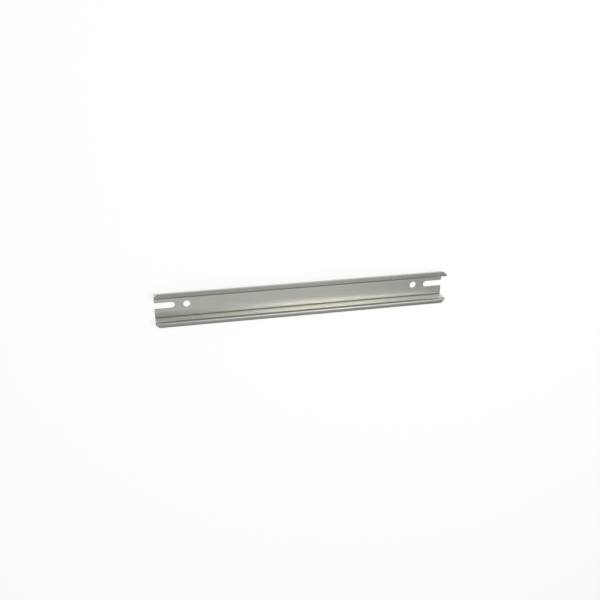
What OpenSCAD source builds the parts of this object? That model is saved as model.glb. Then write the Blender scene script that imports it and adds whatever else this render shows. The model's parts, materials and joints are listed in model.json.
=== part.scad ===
// Top-hat mounting rail, 35 mm wide and 15 mm deep, for clip-on devices in an enclosure.
// One strip of galvanised sheet steel, punched flat and then roll-formed into a hat section.
// The rail lies on the back of its web: X runs along the rail, Y across it, and Z out of the
// web towards the lips. The origin is the centre of the web's back face. Millimetres.

/* [Section] */
// Width of the rail across both lips
rail_width = 35; // [33:0.1:40]
// Depth of the rail, from the back of the web to the face of the lips
rail_depth = 15; // [10:0.1:20]
// Width across the outside of the two side walls
channel_width = 27; // [25:0.1:28]
// Thickness of the sheet
sheet = 1.5; // [0.8:0.1:1.8]
// Inside radius of the four bends
bend_radius = 1; // [0.3:0.1:1.2]

/* [Length] */
// Length of the rail, end to end
rail_length = 300; // [120:1:1000]
// Size of the 45 degree cut at each corner of the lips
corner_cut = 3.5; // [1:0.1:4]

/* [Screw openings] */
// Width of the open slot at each end
slot_width = 6.5; // [4:0.1:9]
// Depth of the slot, from the end of the rail to the slot's round bottom
slot_depth = 20; // [8:0.1:22]
// Diameter of the round hole beyond each slot
hole_diameter = 7; // [3:0.1:9]
// Distance of the round hole's centre from the end of the rail
hole_inset = 31.6; // [28:0.1:40]

/* [Hidden] */
$fn = 96;
steel = [0.66, 0.67, 0.63];

// Radius on the outside of a bend
outer_radius = bend_radius + sheet;
// Width of the web between its two bends
web_flat = channel_width - 2 * outer_radius;
// Height of a side wall between its two bends
wall_flat = rail_depth - 2 * outer_radius;
// Width of a lip from the end of its bend to its free edge
lip_flat = (rail_width - channel_width) / 2 + sheet - outer_radius;
// How far a cutting tool passes the faces that it cuts
overcut = 1;

// A quarter turn of the sheet. It starts on the -Y side of the origin, at the centre of the bend,
// and ends on the +X side of it.
module bend_section() {
    intersection() {
        difference() {
            circle(r = outer_radius);
            circle(r = bend_radius);
        }
        translate([0, -outer_radius]) square(outer_radius);
    }
}

// One half of the hat section: half the web, the side wall and the lip.
// The section's X is the rail's width and its Y is the rail's depth.
module half_section() {
    web_bend_x = web_flat / 2;
    lip_bend_x = web_bend_x + bend_radius + outer_radius;
    lip_bend_y = rail_depth - outer_radius;

    square([web_bend_x, sheet]);
    translate([web_bend_x, outer_radius]) bend_section();
    translate([web_bend_x + bend_radius, outer_radius]) square([sheet, wall_flat]);
    translate([lip_bend_x, lip_bend_y]) rotate(180) bend_section();
    translate([lip_bend_x, rail_depth - sheet]) square([lip_flat, sheet]);
}

// The hat section drawn out to the rail's whole length.
module formed_strip() {
    rotate([90, 0, 90])
        linear_extrude(height = rail_length, center = true) {
            half_section();
            mirror([1, 0]) half_section();
        }
}

// The punch for the open slot at the +X end of the web.
module slot_punch() {
    slot_bottom_x = rail_length / 2 - slot_depth + slot_width / 2;
    translate([slot_bottom_x, 0, -overcut])
        cylinder(d = slot_width, h = sheet + 2 * overcut);
    translate([slot_bottom_x, -slot_width / 2, -overcut])
        cube([slot_depth, slot_width, sheet + 2 * overcut]);
}

// The punch for the round screw hole at the +X end of the web.
module hole_punch() {
    translate([rail_length / 2 - hole_inset, 0, -overcut])
        cylinder(d = hole_diameter, h = sheet + 2 * overcut);
}

// The shear that takes off the outer corner of the +Y lip at the +X end.
module corner_shear() {
    translate([rail_length / 2, rail_width / 2, rail_depth - sheet / 2])
        rotate(45)
            cube([corner_cut * sqrt(2), 2 * corner_cut * sqrt(2), sheet + 2 * overcut], center = true);
}

module rail() {
    color(steel)
        difference() {
            formed_strip();
            for (end = [0, 1]) mirror([end, 0, 0]) {
                slot_punch();
                hole_punch();
                for (side = [0, 1]) mirror([0, side, 0]) corner_shear();
            }
        }
}

rail();
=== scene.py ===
"""Dresses a deep top-hat mounting rail: the formed strip, a pale floor, soft lamps and a camera."""

import json
import math

import bmesh
import bpy
from mathutils import Matrix, Vector


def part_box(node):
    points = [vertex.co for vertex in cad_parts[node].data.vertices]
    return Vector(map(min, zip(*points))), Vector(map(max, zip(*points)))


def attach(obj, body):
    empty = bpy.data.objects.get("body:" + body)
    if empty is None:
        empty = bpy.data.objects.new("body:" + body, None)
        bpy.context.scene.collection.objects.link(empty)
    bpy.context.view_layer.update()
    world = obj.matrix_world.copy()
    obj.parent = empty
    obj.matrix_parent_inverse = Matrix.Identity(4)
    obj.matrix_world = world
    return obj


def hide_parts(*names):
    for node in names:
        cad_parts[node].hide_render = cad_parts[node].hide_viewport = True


bl_info = {
    "name": "Top-Hat Mounting Rail",
    "version": (1, 0, 0),
    "blender": (4, 5, 0),
    "location": "3D View > Sidebar > Mounting Rail",
    "description": "Builds a formed steel mounting rail with its zinc finish, and a small studio for it",
    "category": "Add Mesh",
}

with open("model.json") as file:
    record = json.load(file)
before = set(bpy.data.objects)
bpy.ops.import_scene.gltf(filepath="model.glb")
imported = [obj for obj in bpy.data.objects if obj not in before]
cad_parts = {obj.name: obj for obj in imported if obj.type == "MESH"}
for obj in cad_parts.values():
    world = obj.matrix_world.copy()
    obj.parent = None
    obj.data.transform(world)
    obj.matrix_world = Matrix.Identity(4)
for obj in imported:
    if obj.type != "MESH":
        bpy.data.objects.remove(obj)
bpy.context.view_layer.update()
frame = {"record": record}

MM = 0.001
MICRON = 0.000001

# What the CAD model says about the rail.
RAIL_LOW, RAIL_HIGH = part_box("rail")
RAIL_SIZE = RAIL_HIGH - RAIL_LOW
MOUNTS = {mount["name"]: mount for mount in frame["record"]["mounts"]}
HOLE_RADIUS = MOUNTS["screw_holes"]["dims"]["hole_r_mm"] * MM
HOLE_SPACING = MOUNTS["screw_holes"]["dims"]["spacing_x_mm"] * MM
SLOT_CENTRE = MOUNTS["end_slot_right"]["pos_m"][0]

# How finely round forms are divided.
BEND_STEPS = 12
ARC_STEPS = 24
CORNER_STEPS = 4
ROLLOVER_STEPS = 4
EDGE_BREAK_STEPS = 2

# Place and size of each lamp, in metres.
KEY_LAMP = (0.235, 0.36, 0.79), (0.14, 0.24)
SIDE_LAMP = (0.26, 0.12, 0.90), (0.30, 0.24)
FILL_LAMP = (0.12, 0.42, 0.90), (0.9, 0.2)
OVERHEAD_LAMP = (0.0, -0.42, 1.0), (1.0, 0.25)

# The floor is seen as half matt floor, which holds the shadow, and half glow, which makes it white.
GLOW_SHARE = 0.5
GLOW_STRENGTH = 1.55
FLOOR_HALF = 4.0
FLOOR_GAP = 0.1 * MM

# Sockets of a Mix node that blends colours.
MIX_FIRST, MIX_SECOND, MIX_RESULT = 6, 7, 2


# ---------------------------------------------------------------- settings


class StripSizes(bpy.types.PropertyGroup):
    """Sizes of the strip that its box and its mounts don't give."""

    sheet: bpy.props.FloatProperty(
        name="Sheet", description="Thickness of the strip", unit="LENGTH", default=1.5 * MM
    )
    bend_radius: bpy.props.FloatProperty(
        name="Bend Radius",
        description="Inside radius of the four bends",
        unit="LENGTH",
        default=1.0 * MM,
    )
    channel_width: bpy.props.FloatProperty(
        name="Channel Width",
        description="Width across the outside of the walls",
        unit="LENGTH",
        default=27 * MM,
    )
    slot_width: bpy.props.FloatProperty(
        name="Slot Width",
        description="Width of the open slot at each end",
        unit="LENGTH",
        default=6.5 * MM,
    )
    lip_bow: bpy.props.FloatProperty(
        name="Lip Bow",
        description="How far the lips turn down towards their free edges",
        subtype="ANGLE",
        default=math.radians(4),
    )
    corner_cut: bpy.props.FloatProperty(
        name="Corner Cut",
        description="Size of the cut at each lip corner",
        unit="LENGTH",
        default=3.5 * MM,
    )
    corner_round: bpy.props.FloatProperty(
        name="Corner Round",
        description="Radius that the punch leaves on each corner of the outline",
        unit="LENGTH",
        default=0.3 * MM,
    )
    rollover: bpy.props.FloatProperty(
        name="Rollover",
        description="Radius that shearing leaves on the front rim of each cut",
        unit="LENGTH",
        default=0.25 * MM,
    )
    edge_break: bpy.props.FloatProperty(
        name="Edge Break",
        description="Radius on the back rim of each cut",
        unit="LENGTH",
        default=0.08 * MM,
    )
    tear: bpy.props.FloatProperty(
        name="Tear",
        description="How far the torn half of a cut edge stands back",
        unit="LENGTH",
        default=0.04 * MM,
    )


class ZincFinish(bpy.types.PropertyGroup):
    """Colours and gloss of the zinc coating and of the sheared edges."""

    bare_zinc: bpy.props.FloatVectorProperty(
        name="Bare Zinc",
        description="Colour where the clear film is thin",
        subtype="COLOR",
        default=(0.64, 0.64, 0.635),
    )
    filmed_zinc: bpy.props.FloatVectorProperty(
        name="Filmed Zinc",
        description="Colour where the clear film is thick",
        subtype="COLOR",
        default=(0.65, 0.645, 0.585),
    )
    edge_steel: bpy.props.FloatVectorProperty(
        name="Edge Steel",
        description="Colour of the sheared edges",
        subtype="COLOR",
        default=(0.44, 0.44, 0.42),
    )
    roughness: bpy.props.FloatProperty(
        name="Roughness",
        description="Roughness of the flat coating",
        subtype="FACTOR",
        min=0,
        max=1,
        default=0.34,
    )


class Studio(bpy.types.PropertyGroup):
    """Floor, lamps and camera."""

    floor_colour: bpy.props.FloatVectorProperty(
        name="Floor", description="Colour of the floor", subtype="COLOR", default=(0.8, 0.8, 0.79)
    )
    room_light: bpy.props.FloatProperty(
        name="Room Light", description="Strength of the even light from all round", default=0.3
    )
    key_light: bpy.props.FloatProperty(
        name="Key Lamp", description="Brightness of the small lamp beside the camera", default=7.0
    )
    side_light: bpy.props.FloatProperty(
        name="Side Lamp",
        description="Brightness of the soft lamp between the key lamp and the overhead lamp",
        default=4.5,
    )
    fill_light: bpy.props.FloatProperty(
        name="Fill Lamp", description="Brightness of the long lamp above the key lamp", default=1.4
    )
    overhead_light: bpy.props.FloatProperty(
        name="Overhead Lamp", description="Brightness of the long lamp overhead", default=0.62
    )
    lens: bpy.props.FloatProperty(
        name="Lens", description="Focal length in millimetres", subtype="NONE", default=40.6
    )
    distance: bpy.props.FloatProperty(
        name="Distance", description="From the camera to its aim point", unit="LENGTH", default=0.6859
    )
    azimuth: bpy.props.FloatProperty(
        name="Azimuth",
        description="Turn of the camera round the rail",
        subtype="ANGLE",
        default=math.radians(207.1),
    )
    elevation: bpy.props.FloatProperty(
        name="Elevation",
        description="Height of the camera above the floor",
        subtype="ANGLE",
        default=math.radians(62.8),
    )
    roll: bpy.props.FloatProperty(
        name="Roll",
        description="Turn of the picture about the line of sight",
        subtype="ANGLE",
        default=math.radians(0.565),
    )
    aim: bpy.props.FloatVectorProperty(
        name="Aim",
        description="Aim point, from the middle of the rail's box",
        subtype="TRANSLATION",
        default=(-5.46 * MM, -3.52 * MM, 0.0),
    )


# ---------------------------------------------------------------- the strip's form


class HatSection:
    """The rolled section. It carries points of the flat strip onto the formed rail.

    A point of the flat strip has a place along the rail, a place across it from the middle of the
    web, and a lift from the middle of the sheet towards the front."""

    def __init__(self, sizes):
        outer_radius = sizes.bend_radius + sizes.sheet
        quarter = math.radians(90)
        arc = (sizes.bend_radius + sizes.sheet / 2) * quarter
        web_half = sizes.channel_width / 2 - outer_radius
        wall = RAIL_SIZE.z - 2 * outer_radius
        # The bow swings the front of the free edge out, so the lip is shorter by that much.
        swing = (sizes.sheet / 2 - sizes.rollover) * math.sin(sizes.lip_bow)
        lip = (RAIL_SIZE.y - sizes.channel_width) / 2 - sizes.bend_radius - swing
        self.sheet = sizes.sheet
        # Length and turn of each stretch, from the middle of the web to the free edge of the lip.
        self.stretches = [
            (web_half, 0.0),
            (arc, quarter),
            (wall, 0.0),
            (arc, -quarter),
            (lip, -sizes.lip_bow),
        ]
        self.half_width = sum(length for length, turn in self.stretches)
        # Where across the flat strip the middles of the bends are.
        self.web_bend = web_half + arc / 2
        self.lip_bend = web_half + arc + wall + arc / 2
        self.bend_arc = arc

    def fold_lines(self):
        """Places across the strip's +Y half where a bend starts, ends or takes a step."""
        lines, start = [], 0.0
        for length, turn in self.stretches[:-1]:
            steps = BEND_STEPS if turn else 1
            lines += [start + length * step / steps for step in range(1, steps + 1)]
            start += length
        return lines

    def place(self, along, across, lift):
        """The point on the rail, and the directions across the sheet and out of its front."""
        y, z, heading, left = 0.0, self.sheet / 2, 0.0, abs(across)
        for length, turn in self.stretches:
            go = min(left, length)
            if turn:
                radius = length / turn
                after = heading + go / radius
                y += radius * (math.sin(after) - math.sin(heading))
                z -= radius * (math.cos(after) - math.cos(heading))
                heading = after
            else:
                y += go * math.cos(heading)
                z += go * math.sin(heading)
            left -= go
        side = math.copysign(1.0, across)
        sideways = Vector((0.0, math.cos(heading), side * math.sin(heading)))
        front = Vector((0.0, -side * math.sin(heading), math.cos(heading)))
        return Vector((along, side * y, z)) + lift * front, sideways, front


def arc_points(centre, radius, start, end, steps):
    """Points of an arc in the flat strip, both ends included. Angles are in degrees."""
    angles = [math.radians(start + (end - start) * step / steps) for step in range(steps + 1)]
    return [Vector((centre.x + radius * math.cos(a), centre.y + radius * math.sin(a))) for a in angles]


def rounded(corner, radius, start, end):
    """The small arc inside a corner. The way out of the sheet turns from the start to the end angle."""
    middle = math.radians((start + end) / 2)
    reach = radius / math.cos(math.radians(end - start) / 2)
    centre = corner - reach * Vector((math.cos(middle), math.sin(middle)))
    return arc_points(centre, radius, start, end, CORNER_STEPS)


def strip_outline(sizes, half_width):
    """The strip's outline, from the bottom of the +X slot round by the +Y edge.

    The sheet lies on the outline's left."""
    end = RAIL_SIZE.x / 2
    slot_half = sizes.slot_width / 2
    quarter = [
        *arc_points(Vector((SLOT_CENTRE, 0.0)), slot_half, 180, 90, ARC_STEPS),
        *rounded(Vector((end, slot_half)), sizes.corner_round, -90, 0),
        *rounded(Vector((end, half_width - sizes.corner_cut)), sizes.corner_round, 0, 45),
        *rounded(Vector((end - sizes.corner_cut, half_width)), sizes.corner_round, 45, 90),
    ]
    upper = quarter + [Vector((-point.x, point.y)) for point in reversed(quarter)]
    return upper + [-point for point in upper[1:-1]]


def hole_outline(centre_x):
    """A screw hole's outline, from its -X side round by +Y. The sheet lies on its left."""
    return arc_points(Vector((centre_x, 0.0)), HOLE_RADIUS, 180, -180, 4 * ARC_STEPS)[:-1]


def outward_directions(points):
    """The way out of the sheet at each point of an outline."""
    directions = []
    for index, point in enumerate(points):
        before = (point - points[index - 1]).normalized()
        after = (points[(index + 1) % len(points)] - point).normalized()
        along = (before + after).normalized()
        directions.append(Vector((along.y, -along.x)))
    return directions


def rim_rows(sizes):
    """A sheared edge from front to back: each row's inset, its lift, and its tilt from the front."""
    half = sizes.sheet / 2
    rows = []
    for step in range(ROLLOVER_STEPS + 1):
        tilt = math.radians(90) * step / ROLLOVER_STEPS
        inset = sizes.rollover * (1 - math.sin(tilt))
        rows.append((inset, half - sizes.rollover * (1 - math.cos(tilt)), tilt))
    rows.append((0.0, 0.0, tilt))
    for step in range(EDGE_BREAK_STEPS + 1):
        tilt = math.radians(90) * (1 + step / EDGE_BREAK_STEPS)
        inset = sizes.tear + sizes.edge_break * (1 - math.sin(tilt))
        rows.append((inset, -half + sizes.edge_break * (1 + math.cos(tilt)), tilt))
    return rows


def flat_strip(sizes, half_width):
    """The punched strip before rolling, as a closed mesh that also holds each point's flat normal."""
    mesh = bmesh.new()
    normal_layer = mesh.verts.layers.float_vector.new("flat_normal")
    rows = rim_rows(sizes)
    rims = []
    for outline in (
        strip_outline(sizes, half_width),
        hole_outline(-HOLE_SPACING / 2),
        hole_outline(HOLE_SPACING / 2),
    ):
        outward = outward_directions(outline)
        rings = []
        for inset, lift, tilt in rows:
            ring = []
            for point, out in zip(outline, outward):
                flat = point - inset * out
                vert = mesh.verts.new((flat.x, flat.y, lift))
                vert[normal_layer] = (*(math.sin(tilt) * out), math.cos(tilt))
                ring.append(vert)
            rings.append(ring)
        for front, back in zip(rings, rings[1:]):
            for index in range(len(front)):
                before = index - 1
                mesh.faces.new((front[before], back[before], back[index], front[index]))
        rims.append(rings)
    for row in (0, -1):
        outline, left_hole, right_hole = (rings[row] for rings in rims)
        for part in (0, 1):
            holes = [right_hole, left_hole] if part else [left_hole, right_hole]
            verts = [vert for ring in [outline, *holes] for vert in half_of(ring, part)]
            mesh.faces.new(verts if row == 0 else reversed(verts))
    return mesh


def half_of(ring, part):
    """The first or second half of a closed ring, with both of the points that divide it."""
    middle = len(ring) // 2
    return ring[middle:] + ring[:1] if part else ring[: middle + 1]


def fold_strip(mesh, section):
    """Divides the flat strip at its fold lines and rolls it to the section. Returns the normals."""
    for line in section.fold_lines():
        for across in (line, -line):
            bmesh.ops.bisect_plane(
                mesh,
                geom=mesh.verts[:] + mesh.edges[:] + mesh.faces[:],
                dist=0.1 * MICRON,
                plane_co=(0.0, across, 0.0),
                plane_no=(0.0, 1.0, 0.0),
            )
    normal_layer = mesh.verts.layers.float_vector["flat_normal"]
    flat_layer = mesh.verts.layers.float_vector.new("flat_pattern")
    cut_layer = mesh.verts.layers.float.new("cut_edge")
    normals = []
    for vert in mesh.verts:
        out = vert[normal_layer].normalized()
        vert[flat_layer] = vert.co
        vert[cut_layer] = math.hypot(out.x, out.y)
        vert.co, sideways, front = section.place(*vert.co)
        normals.append(Vector((out.x, 0.0, 0.0)) + out.y * sideways + out.z * front)
    mesh.verts.layers.float_vector.remove(normal_layer)
    return normals


# ---------------------------------------------------------------- shader nodes


class Wire:
    """An output of a shader node. Arithmetic on it adds Math nodes."""

    def __init__(self, output):
        self.output = output

    @classmethod
    def node(cls, tree, kind, settings=None, values=None, output=0):
        """Adds a node: its settings come first, then the values or links of its sockets."""
        made = tree.nodes.new(kind)
        for name, setting in (settings or {}).items():
            setattr(made, name, setting)
        for name, value in (values or {}).items():
            if isinstance(value, Wire):
                tree.links.new(value.output, made.inputs[name])
            else:
                made.inputs[name].default_value = value
        return cls(made.outputs[output])

    def math(self, operation, first, second):
        """A Math node with this operation."""
        tree = self.output.id_data
        return Wire.node(tree, "ShaderNodeMath", {"operation": operation}, {0: first, 1: second})

    def __add__(self, other):
        return self.math("ADD", self, other)

    __radd__ = __add__

    def __sub__(self, other):
        return self.math("SUBTRACT", self, other)

    def __rsub__(self, other):
        return self.math("SUBTRACT", other, self)

    def __mul__(self, other):
        return self.math("MULTIPLY", self, other)

    __rmul__ = __mul__

    def __truediv__(self, other):
        return self.math("DIVIDE", self, other)

    def __rtruediv__(self, other):
        return self.math("DIVIDE", other, self)

    def __abs__(self):
        return self.math("ABSOLUTE", self, 0.0)


def new_material(name):
    """An empty node material, its tree and its output node."""
    material = bpy.data.materials.new(name)
    material.use_nodes = True
    tree = material.node_tree
    tree.nodes.clear()
    return material, tree, tree.nodes.new("ShaderNodeOutputMaterial")


def stretched(tree, vector, along, across, through):
    """A pattern vector with its own number of turns to the metre along, across and through the sheet."""
    return Wire.node(
        tree, "ShaderNodeVectorMath", {"operation": "MULTIPLY"}, {0: vector, 1: (along, across, through)}
    )


def noise(tree, vector, detail):
    """Soft noise about 0, mostly from -1 to 1."""
    values = {"Vector": vector, "Scale": 1.0, "Detail": detail, "Roughness": 0.5}
    raw = Wire.node(tree, "ShaderNodeTexNoise", {}, values)
    return (raw - 0.5) * 3.0


def ramp(tree, value, low, high):
    """A soft step from 0 at low to 1 at high."""
    return Wire.node(
        tree,
        "ShaderNodeMapRange",
        {"interpolation_type": "SMOOTHSTEP"},
        {"Value": value, "From Min": low, "From Max": high},
    )


def hump(tree, value, middle, width):
    """A soft hump: 1 at its middle, half of that at the ends of its width."""
    return 1.0 - ramp(tree, abs(value - middle), 0.0, width)


def mix_colour(tree, factor, first, second):
    """A blend of two colours."""
    first, second = (
        colour if isinstance(colour, Wire) else (*colour, 1.0) for colour in (first, second)
    )
    values = {"Factor": factor, MIX_FIRST: first, MIX_SECOND: second}
    return Wire.node(tree, "ShaderNodeMix", {"data_type": "RGBA"}, values, output=MIX_RESULT)


def scaled(tree, colour, scale):
    """A colour made lighter or darker."""
    values = {0: colour, "Scale": scale}
    return Wire.node(tree, "ShaderNodeVectorMath", {"operation": "SCALE"}, values)


# ---------------------------------------------------------------- finishes


def scratches(tree, along, across, slant, seed):
    """Sparse fine scratches that run nearly along the rail: 1 on a scratch, 0 elsewhere."""
    values = {"X": 14.0 * along, "Y": 3200.0 * (across + slant * along), "Z": seed}
    place = Wire.node(tree, "ShaderNodeCombineXYZ", {}, values)
    return ramp(tree, noise(tree, place, detail=1), 0.62, 0.8)


def zinc_material(finish, section):
    """Bright zinc-coated strip, rolled along the rail, with bare steel on its sheared edges."""
    material, tree, output = new_material("zinc_coated_steel")
    flat = Wire.node(tree, "ShaderNodeAttribute", {"attribute_name": "flat_pattern"}, output="Vector")
    cut = Wire.node(tree, "ShaderNodeAttribute", {"attribute_name": "cut_edge"}, output="Fac")
    along, across, lift = (
        Wire.node(tree, "ShaderNodeSeparateXYZ", {}, {"Vector": flat}, output=axis) for axis in "XYZ"
    )

    # Where the strip is bent, and where its lips are.
    reach = abs(across)
    front = ramp(tree, lift, -0.2 * MM, 0.2 * MM)
    web_bend = hump(tree, reach, section.web_bend, section.bend_arc)
    lip_bend = hump(tree, reach, section.lip_bend, section.bend_arc)
    hollow = web_bend * front + lip_bend * (1.0 - front)
    crown = lip_bend * front + web_bend * (1.0 - front)
    lip = ramp(tree, reach, section.lip_bend, section.half_width - 1.5 * MM)

    # Rolling marks from broad bands to hairlines, clouds in the clear film, grain and scratches.
    bands = noise(tree, stretched(tree, flat, 3, 170, 300), detail=2)
    streaks = noise(tree, stretched(tree, flat, 9, 900, 900), detail=3)
    hairlines = noise(tree, stretched(tree, flat, 25, 4200, 2500), detail=2)
    clouds = noise(tree, stretched(tree, flat, 26, 60, 200), detail=4)
    grain = noise(tree, stretched(tree, flat, 1500, 2600, 2600), detail=2)
    scratch = scratches(tree, along, across, 0.02, front)
    scratch = scratch + scratches(tree, along, across, -0.035, front + 5.0)

    # The sheared edges: a smooth band that the tool has dragged, then a torn one.
    edge = ramp(tree, cut, 0.35, 0.95)
    torn = edge * (1.0 - ramp(tree, lift, -0.15 * MM, 0.1 * MM))
    drag = noise(tree, stretched(tree, flat, 3500, 3500, 250), detail=2)

    film = ramp(tree, clouds + 0.4 * bands + 0.4, -0.9, 0.9)
    zinc = mix_colour(tree, film, finish.bare_zinc, finish.filmed_zinc)
    marks = 1.0 + 0.035 * streaks + 0.025 * bands + 0.02 * clouds + 0.05 * hairlines + 0.02 * grain
    # Painted shade: the colour is darker in the hollow of each bend and over the lips, and a little
    # darker on each bend's crown to dim its highlight. Scratches are lighter.
    painted_shade_and_scratches = (1.0 - 0.3 * hollow - 0.1 * crown) * (1.0 - 0.28 * lip) * (1.0 + 0.15 * scratch)
    toned = scaled(tree, zinc, marks * painted_shade_and_scratches)
    sheared = scaled(tree, tuple(finish.edge_steel), 1.0 + 0.12 * drag - 0.3 * torn)
    colour = mix_colour(tree, edge, toned, sheared)

    ripple = 0.04 * streaks + 0.02 * bands + 0.03 * clouds + 0.04 * hairlines + 0.02 * grain
    dull = 0.1 * edge + 0.15 * torn + 0.2 * hollow + 0.1 * crown + 0.05 * lip - 0.08 * scratch
    roughness = finish.roughness + ripple + dull
    relief = 3.0 * streaks + 14.0 * bands + 1.2 * grain + 1.0 * hairlines
    relief = relief - 2.0 * scratch + 6.0 * (edge * drag)
    height = {"Strength": 1.0, "Distance": 1.0, "Height": MICRON * relief}
    bump = Wire.node(tree, "ShaderNodeBump", {}, height)
    surface = {"Base Color": colour, "Metallic": 1.0, "Roughness": roughness, "Normal": bump}
    shader = Wire.node(tree, "ShaderNodeBsdfPrincipled", {}, surface)
    tree.links.new(shader.output, output.inputs["Surface"])
    return material


def floor_material(studio):
    """A pale floor, which shows as white and keeps the rail's soft shadow."""
    material, tree, output = new_material("pale_floor")
    seen = Wire.node(tree, "ShaderNodeLightPath", output="Is Camera Ray")
    glossy = Wire.node(tree, "ShaderNodeLightPath", output="Is Glossy Ray")
    through = Wire.node(tree, "ShaderNodeLightPath", output="Is Transmission Ray")
    shown = seen.math("MINIMUM", seen + glossy + through, 1.0)
    matt = Wire.node(tree, "ShaderNodeBsdfDiffuse", {}, {"Color": (*studio.floor_colour, 1.0)})
    white = {"Color": (1.0, 1.0, 1.0, 1.0), "Strength": GLOW_STRENGTH}
    glow = Wire.node(tree, "ShaderNodeEmission", {}, white)
    blend = Wire.node(tree, "ShaderNodeMixShader", {}, {0: shown * GLOW_SHARE, 1: matt, 2: glow})
    tree.links.new(blend.output, output.inputs["Surface"])
    return material


# ---------------------------------------------------------------- operators


class MESH_OT_add_formed_rail(bpy.types.Operator):
    """Punch the strip, roll it to the top-hat section and give it its zinc finish"""

    bl_idname = "mesh.add_formed_rail"
    bl_label = "Formed Rail"

    def execute(self, context):
        sizes = context.scene.strip_sizes
        section = HatSection(sizes)
        strip = flat_strip(sizes, section.half_width)
        normals = fold_strip(strip, section)
        mesh = bpy.data.meshes.new("formed_rail")
        strip.to_mesh(mesh)
        strip.free()
        mesh.polygons.foreach_set("use_smooth", [True] * len(mesh.polygons))
        mesh.normals_split_custom_set_from_vertices(normals)
        mesh.materials.append(zinc_material(context.scene.zinc_finish, section))
        rail = bpy.data.objects.new("formed_rail", mesh)
        context.collection.objects.link(rail)
        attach(rail, "root")
        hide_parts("rail")
        return {"FINISHED"}


class SCENE_OT_add_rail_studio(bpy.types.Operator):
    """Add the pale floor, the soft lamps and the camera"""

    bl_idname = "scene.add_rail_studio"
    bl_label = "Rail Studio"

    def execute(self, context):
        studio = context.scene.rail_studio
        self.add_floor(context, studio)
        self.add_room_light(context, studio)
        self.add_lamp(context, "key_lamp", *KEY_LAMP, studio.key_light)
        self.add_lamp(context, "side_lamp", *SIDE_LAMP, studio.side_light)
        self.add_lamp(context, "fill_lamp", *FILL_LAMP, studio.fill_light)
        self.add_lamp(context, "overhead_lamp", *OVERHEAD_LAMP, studio.overhead_light)
        self.add_camera(context, studio)
        return {"FINISHED"}

    def add_floor(self, context, studio):
        """A flat floor just under the rail."""
        half = FLOOR_HALF
        mesh = bpy.data.meshes.new("floor")
        corners = [(-half, -half, 0.0), (half, -half, 0.0), (half, half, 0.0), (-half, half, 0.0)]
        mesh.from_pydata(corners, [], [(0, 1, 2, 3)])
        mesh.materials.append(floor_material(studio))
        floor = bpy.data.objects.new("floor", mesh)
        floor.location.z = RAIL_LOW.z - FLOOR_GAP
        context.collection.objects.link(floor)

    def add_room_light(self, context, studio):
        """Even light from all round."""
        world = bpy.data.worlds.new("room")
        world.use_nodes = True
        background = world.node_tree.nodes["Background"]
        background.inputs["Color"].default_value = (1.0, 1.0, 1.0, 1.0)
        background.inputs["Strength"].default_value = studio.room_light
        context.scene.world = world

    def add_lamp(self, context, name, place, size, brightness):
        """A soft rectangular lamp that faces the rail. A mirror would show it at this brightness."""
        data = bpy.data.lights.new(name, "AREA")
        data.shape = "RECTANGLE"
        data.size, data.size_y = size
        data.energy = brightness * math.pi * size[0] * size[1]
        lamp = bpy.data.objects.new(name, data)
        lamp.location = place
        lamp.rotation_mode = "QUATERNION"
        lamp.rotation_quaternion = Vector(place).to_track_quat("Z", "Y")
        context.collection.objects.link(lamp)

    def add_camera(self, context, studio):
        """A camera above the rail, with the rail's +Y side up in the picture."""
        data = bpy.data.cameras.new("camera")
        data.lens = studio.lens
        camera = bpy.data.objects.new("camera", data)
        flat = math.cos(studio.elevation)
        east, north = math.sin(studio.azimuth), -math.cos(studio.azimuth)
        back = Vector((east * flat, north * flat, math.sin(studio.elevation)))
        right = Vector((0.0, 1.0, 0.0)).cross(back).normalized()
        axes = Matrix((right, back.cross(right), back)).transposed()
        turned = axes.to_4x4() @ Matrix.Rotation(studio.roll, 4, "Z")
        aim = (RAIL_LOW + RAIL_HIGH) / 2 + Vector(studio.aim)
        camera.matrix_world = Matrix.Translation(aim + back * studio.distance) @ turned
        context.collection.objects.link(camera)
        context.scene.camera = camera


class VIEW3D_PT_mounting_rail(bpy.types.Panel):
    """Lists the rail's pieces and its studio"""

    bl_label = "Mounting Rail"
    bl_space_type = "VIEW_3D"
    bl_region_type = "UI"
    bl_category = "Mounting Rail"

    def draw(self, context):
        for operator in OPERATORS:
            self.layout.operator(operator.bl_idname)
        for name, group in SETTINGS.items():
            box = self.layout.box()
            for key in group.__annotations__:
                box.prop(getattr(context.scene, name), key)


OPERATORS = (MESH_OT_add_formed_rail, SCENE_OT_add_rail_studio)
SETTINGS = {"strip_sizes": StripSizes, "zinc_finish": ZincFinish, "rail_studio": Studio}
CLASSES = (*SETTINGS.values(), *OPERATORS, VIEW3D_PT_mounting_rail)


def register():
    for cls in CLASSES:
        bpy.utils.register_class(cls)
    for name, group in SETTINGS.items():
        setattr(bpy.types.Scene, name, bpy.props.PointerProperty(type=group))


def unregister():
    for name in SETTINGS:
        delattr(bpy.types.Scene, name)
    for cls in reversed(CLASSES):
        bpy.utils.unregister_class(cls)


def main():
    register()
    bpy.context.scene.view_settings.view_transform = "Standard"
    bpy.ops.mesh.add_formed_rail()
    bpy.ops.scene.add_rail_studio()


if __name__ == "__main__":
    main()
